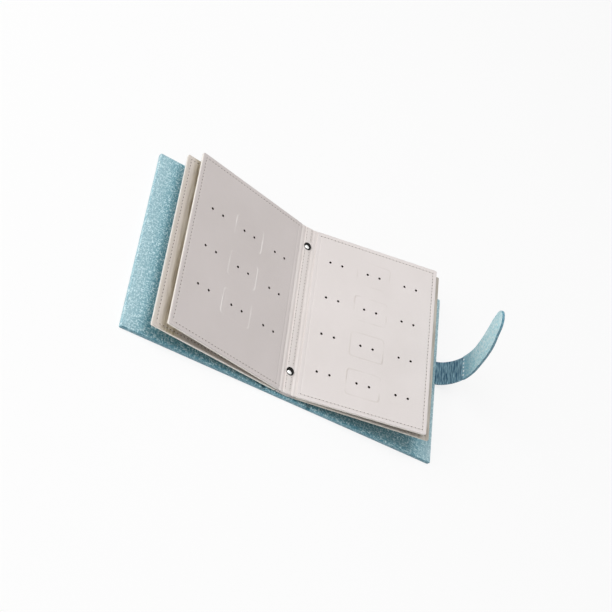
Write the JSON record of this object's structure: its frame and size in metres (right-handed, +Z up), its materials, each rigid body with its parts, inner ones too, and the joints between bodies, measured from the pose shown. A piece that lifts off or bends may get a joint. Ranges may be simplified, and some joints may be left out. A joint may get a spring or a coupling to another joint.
{
  "type": "earring book",
  "caption": "Open earring book: soft binder with fold-flat covers, punched leaves that hold pairs of stud earrings, riveted to the spine, and a curled closing strap.",
  "frame": {"origin": "middle of the spine's outer face, which lies on the table", "axes": "+X along the open spread towards the back cover and its strap, +Y up the leaves, +Z up from the table"},
  "size_m": [0.2933, 0.155, 0.1094],
  "materials": {
    "cover_leatherette": "light blue embossed leatherette",
    "strap_lining": "smooth light blue leatherette",
    "leaf_leatherette": "ivory leatherette",
    "leaf_core": "pale card stiffener",
    "grey_board": "grey binder board",
    "nickel": "polished nickel",
    "magnet": "plated magnet disc"
  },
  "bodies": {
    "spine": {"spine_skin": "cover_leatherette", "spine_board": "grey_board", "spine_lining": "cover_leatherette", "lower_binding_strip": "leaf_leatherette", "upper_binding_strip": "leaf_leatherette", "rivet_post_top": "nickel", "rivet_post_bottom": "nickel", "rivet_cap_top": "nickel", "rivet_cap_bottom": "nickel"},
    "front_cover": {"front_skin": "cover_leatherette", "front_board": "grey_board", "front_lining": "cover_leatherette", "front_magnet": "magnet"},
    "back_cover": {"back_skin": "cover_leatherette", "back_board": "grey_board", "back_lining": "cover_leatherette", "strap_tail": "cover_leatherette"},
    "left_creases": {"leaf_a_crease": "leaf_leatherette", "leaf_b_crease": "leaf_leatherette"},
    "right_creases": {"leaf_c_crease": "leaf_leatherette", "leaf_d_crease": "leaf_leatherette"},
    "leaf_a": {"leaf_a_face": "leaf_leatherette", "leaf_a_core": "leaf_core", "leaf_a_back": "leaf_leatherette"},
    "leaf_b": {"leaf_b_face": "leaf_leatherette", "leaf_b_core": "leaf_core", "leaf_b_back": "leaf_leatherette"},
    "leaf_c": {"leaf_c_face": "leaf_leatherette", "leaf_c_core": "leaf_core", "leaf_c_back": "leaf_leatherette"},
    "leaf_d": {"leaf_d_face": "leaf_leatherette", "leaf_d_core": "leaf_core", "leaf_d_back": "leaf_leatherette"},
    "strap_base": {"strap_base_outer": "cover_leatherette", "strap_base_core": "leaf_core", "strap_base_inner": "cover_leatherette"},
    "strap_tip": {"strap_tip_outer": "cover_leatherette", "strap_tip_core": "leaf_core", "strap_tip_inner": "strap_lining", "strap_magnet": "magnet"}
  },
  "joints": [
    {"name": "front_fold", "type": "hinge", "parent": "spine", "child": "front_cover", "pos_m": [-0.0185, 0, 0.0004], "axis": [0, 1, 0], "range_deg": [0, 90]},
    {"name": "back_fold", "type": "hinge", "parent": "spine", "child": "back_cover", "pos_m": [0.0185, 0, 0.0004], "axis": [0, 1, 0], "range_deg": [-90, 0]},
    {"name": "left_crease", "type": "hinge", "parent": "spine", "child": "left_creases", "pos_m": [-0.0078, 0, 0.008], "axis": [0, 1, 0], "range_deg": [-1, 83.5]},
    {"name": "right_crease", "type": "hinge", "parent": "spine", "child": "right_creases", "pos_m": [0.0008, 0, 0.008], "axis": [0, 1, 0], "range_deg": [-76, 1]},
    {"name": "leaf_b_turn", "type": "hinge", "parent": "left_creases", "child": "leaf_b", "pos_m": [-0.01078, 0, 0.00832], "axis": [0, 1, 0], "range_deg": [-6, 32]},
    {"name": "leaf_a_turn", "type": "hinge", "parent": "leaf_b", "child": "leaf_a", "pos_m": [-0.01078, 0, 0.00832], "axis": [0, 1, 0], "range_deg": [-4, 38]},
    {"name": "leaf_d_turn", "type": "hinge", "parent": "right_creases", "child": "leaf_d", "pos_m": [0.00374, 0, 0.0086], "axis": [0, 1, 0], "range_deg": [-35, 10]},
    {"name": "leaf_c_turn", "type": "hinge", "parent": "leaf_d", "child": "leaf_c", "pos_m": [0.00374, 0, 0.0086], "axis": [0, 1, 0], "range_deg": [-40, 2]},
    {"name": "strap_base_bend", "type": "hinge", "parent": "back_cover", "child": "strap_base", "pos_m": [0.1475, 0.005, 0.00802], "axis": [0, -1, 0], "range_deg": [-85, 20]},
    {"name": "strap_tip_bend", "type": "hinge", "parent": "strap_base", "child": "strap_tip", "pos_m": [0.14929, 0.005, 0.03947], "axis": [0, 1, 0], "range_deg": [-65, 25]}
  ],
  "couplings": [
    {"joint": "left_crease", "follows": "front_fold", "ratio": 0.916},
    {"joint": "right_crease", "follows": "back_fold", "ratio": 0.832}
  ]
}
